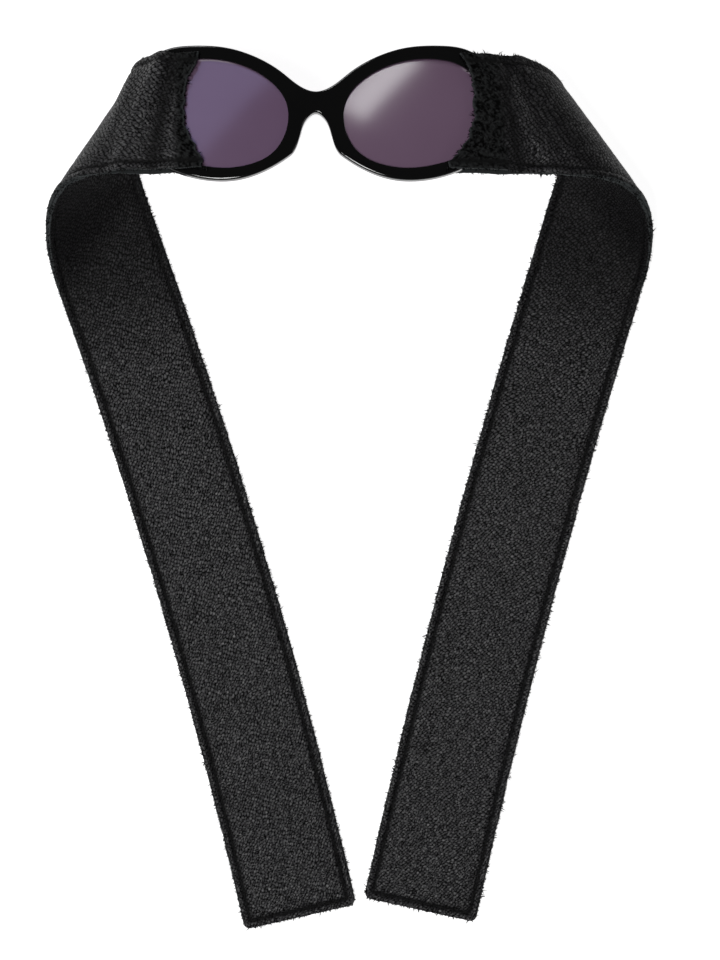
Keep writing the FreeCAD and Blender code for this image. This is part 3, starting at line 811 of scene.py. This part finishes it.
def fuzz_mesh(fold, part, rng):
    """Loose fibres standing out of the cut edges of both plies, as thin tapered spikes."""
    u, v, forward, aside, facing = fibre_roots(fold, part, rng)
    share = rng.uniform(0.1, 0.95, len(u))
    height = facing * (fold.lift(u) + share * PLY_THICK) + drape(fold, u, v)
    spot, along, across, out = local_frame(fold, u, v, height)
    brow_side = fold.place(u, v + 0.2, height, v) - spot
    across = across * np.sign(np.sum(across * brow_side, axis=1))[:, None]
    length = np.clip(rng.gamma(2.0, 0.26, len(u)), 0.2, 1.3)[:, None]
    width = rng.uniform(0.14, 0.30, len(u))[:, None]
    sway = rng.normal(0, 0.55, (len(u), 3))
    direction = along * forward[:, None] + across * aside[:, None] + sway
    direction /= np.linalg.norm(direction, axis=1, keepdims=True)
    side_a = np.cross(direction, out)
    side_a /= np.linalg.norm(side_a, axis=1, keepdims=True)
    side_b = np.cross(direction, side_a)
    root = spot - direction * FIBRE_SUNK
    bend = rng.normal(0, 0.22, (len(u), 3)) * length

    def ring(middle, taper):
        return [middle + (side_a * math.cos(angle) + side_b * math.sin(angle)) * width * taper
                for angle in FIBRE_CORNERS]

    waist = root + direction * (FIBRE_SUNK + length * 0.55) + bend
    end = root + direction * (FIBRE_SUNK + length) + bend * 2.5
    points = np.stack(ring(root, 1.0) + ring(waist, 0.7) + [end], axis=1)
    points[..., 2] = np.maximum(points[..., 2], FIBRE_FLOOR)
    faces = []
    for b in range(0, len(u) * FIBRE_POINTS, FIBRE_POINTS):
        faces.append((b, b + 2, b + 1))
        for k in range(3):
            n = (k + 1) % 3
            faces.append((b + k, b + n, b + 3 + n, b + 3 + k))
            faces.append((b + 3 + k, b + 3 + n, b + 6))
    piece = add_mesh("fuzz_%s_%s" % (fold.name, part), points.reshape(-1, 3), faces, LEATHER)
    none, full = np.zeros(len(u) * FIBRE_POINTS), np.ones(len(u) * FIBRE_POINTS)
    paint(piece, raw_edge=none, suede=full, groove=none, pebble=none)
    lay_flat_map(piece, np.repeat(u, FIBRE_POINTS), np.repeat(v, FIBRE_POINTS))
    return piece


# ------------------------------------------------------------------ put the straps together

ROLL_ZONE = (7, 6)
ROLL_AHEAD, ROLL_DOWN = 0.5, 0.866
FLEX_ZONE = 9


def hinge_span(fold, part):
    """Start and end of the bending zone across the hinge that this part of the strap crosses.

    The zone at the roll's foot runs 60 degrees down, square to the ruling the hinge lies on.
    """
    if part == "lower":
        flex = fold.end + fold.size["tail"] * FLEX_SHARE
        middle = fold.place(flex, 0, 0)
        ahead = fold.place(flex + 1, 0, 0) - middle
        return middle - ahead * FLEX_ZONE, middle + ahead * FLEX_ZONE
    middle = fold.place(fold.end, 0, 0)
    ahead = fold.place(fold.end + 30, 0, 0) - middle
    lean = fold.size["slant"] * 10
    ruling = fold.place(fold.end + lean, -10, 0) - fold.place(fold.end - lean, 10, 0)
    ruling = ruling / np.linalg.norm(ruling)
    square = ahead - ruling * np.dot(ahead, ruling)
    square /= np.linalg.norm(square)
    direction = ROLL_AHEAD * square - np.array([0, 0, ROLL_DOWN])
    return middle - direction * ROLL_ZONE[0], middle + direction * ROLL_ZONE[1]


def bend_piece(piece, fold, part):
    start, end = hinge_span(fold, part)
    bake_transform(piece)


NODE_PARTS = {"upper": ("fold", "tail"), "lower": ("tip",)}
fuzz_rng = np.random.default_rng(FUZZ_SEED)
for name, fold in FOLDS.items():
    for part, node_parts in NODE_PARTS.items():
        for ply in FACING:
            piece, length = ply_mesh(fold, ply, part)
            bend_piece(piece, fold, part)
            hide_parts(*["strap_%s_%s_%s" % (name, ply, node) for node in node_parts])
        thread = stitch_mesh(fold, part)
        bend_piece(thread, fold, part)
        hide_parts(*["stitch_%s_%s" % (name, node) for node in node_parts])
        fuzz = fuzz_mesh(fold, part, fuzz_rng)
        bend_piece(fuzz, fold, part)


# ------------------------------------------------------------------ finish the CAD nodes

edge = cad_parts["front_frame"].modifiers.new("opening_edges", "BEVEL")
edge.width = 0.0003
edge.segments = 2
edge.limit_method = "ANGLE"
edge.angle_limit = math.radians(50)

for label, material in (("front_frame", ACETATE), ("nose_pad_left", ACETATE),
                        ("nose_pad_right", ACETATE), ("lens_left", LENS), ("lens_right", LENS)):
    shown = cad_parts[label]
    if shown.material_slots:
        for slot in shown.material_slots:
            slot.material = material
    else:
        shown.data.materials.append(material)


# ------------------------------------------------------------------ floor and light

FLOOR_REACH = 12.0
FLOOR_DROP = 0.0004


def glow(tree, own, shown):
    """A strength that is one value for the light a thing gives and another for how it looks."""
    seen = node(tree, "LightPath").outputs["Is Camera Ray"]
    return mix_value(tree, seen, own, shown)


def floor_material():
    material, tree, shader = new_material("floor")
    place = node(tree, "TexCoord").outputs["Object"]
    colour = mix_colour(tree, noise(tree, place, 3.0), grey(0.93), grey(0.95))
    feed(tree, shader, {
        "Base Color": colour, "Emission Color": colour,
        "Emission Strength": glow(tree, 0.55, 0.92), "Roughness": 0.9,
        "Specular IOR Level": 0.1})
    return material


floor_mesh = bpy.data.meshes.new("floor")
floor_mesh.from_pydata(
    [(FLOOR_REACH * x, FLOOR_REACH * y, 0) for x, y in ((-1, -1), (1, -1), (1, 1), (-1, 1))],
    [], [(0, 1, 2, 3)])
floor_mesh.materials.append(floor_material())
floor = bpy.data.objects.new("floor", floor_mesh)
floor.location = (0, 0, -FLOOR_DROP)
bpy.context.scene.collection.objects.link(floor)


def softbox(name, place, aim, size, power, tint=(1, 1, 1), roll=0.0):
    """A rectangular lamp of width and depth in metres, aimed at a point and rolled in degrees."""
    data = bpy.data.lights.new(name, "AREA")
    data.shape = "RECTANGLE"
    data.size, data.size_y = size
    data.energy = power
    data.color = tint
    lamp = bpy.data.objects.new(name, data)
    bpy.context.scene.collection.objects.link(lamp)
    lamp.location = place
    aimed = (Vector(aim) - Vector(place)).to_track_quat("-Z", "Y")
    lamp.rotation_euler = (aimed @ Quaternion((0, 0, 1), math.radians(roll))).to_euler()
    return lamp


def keep_to(lamp, label):
    """Flag a lamp off everything but this node."""
    lit = bpy.data.collections.new(lamp.name + "_lit")
    lit.objects.link(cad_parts[label])
    lamp.light_linking.receiver_collection = lit


softbox("overhead", place=(-0.45, -0.28, 1.75), aim=(0, -0.05, 0), size=(0.55, 0.55), power=13.0)
softbox("low_key", place=(-0.55, 1.35, 0.72), aim=(0, 0.02, 0), size=(0.6, 0.35), power=3.0,
        tint=(0.98, 0.985, 1.0))
lens_strip = softbox("lens_strip", place=(0.107, 0.951, 1.325), aim=(0.026, 0.148, 0.06),
                     size=(0.55, 0.17), power=2.3, roll=55)
left_sky = softbox("left_sky", place=(-0.497, 0.972, 1.233), aim=(-0.053, 0.150, 0.06),
                   size=(1.0, 0.75), power=3.2, tint=(0.56, 0.56, 1.0), roll=22.6)
softbox("right_low", place=(1.25, -0.1, 0.75), aim=(0, 0, 0), size=(0.5, 0.5), power=1.0,
        tint=(1.0, 0.98, 0.97))
keep_to(lens_strip, "lens_right")
keep_to(left_sky, "lens_left")


def sky():
    """Plain white where the camera sees past the floor, and a dim even light on the object."""
    world = bpy.data.worlds.new("world")
    bpy.context.scene.world = world
    world.use_nodes = True
    tree = world.node_tree
    feed(tree, tree.nodes["Background"], {
        "Color": (0.995, 0.996, 1.0, 1), "Strength": glow(tree, 0.05, 1.0)})


sky()
bpy.context.scene.view_settings.view_transform = "Standard"
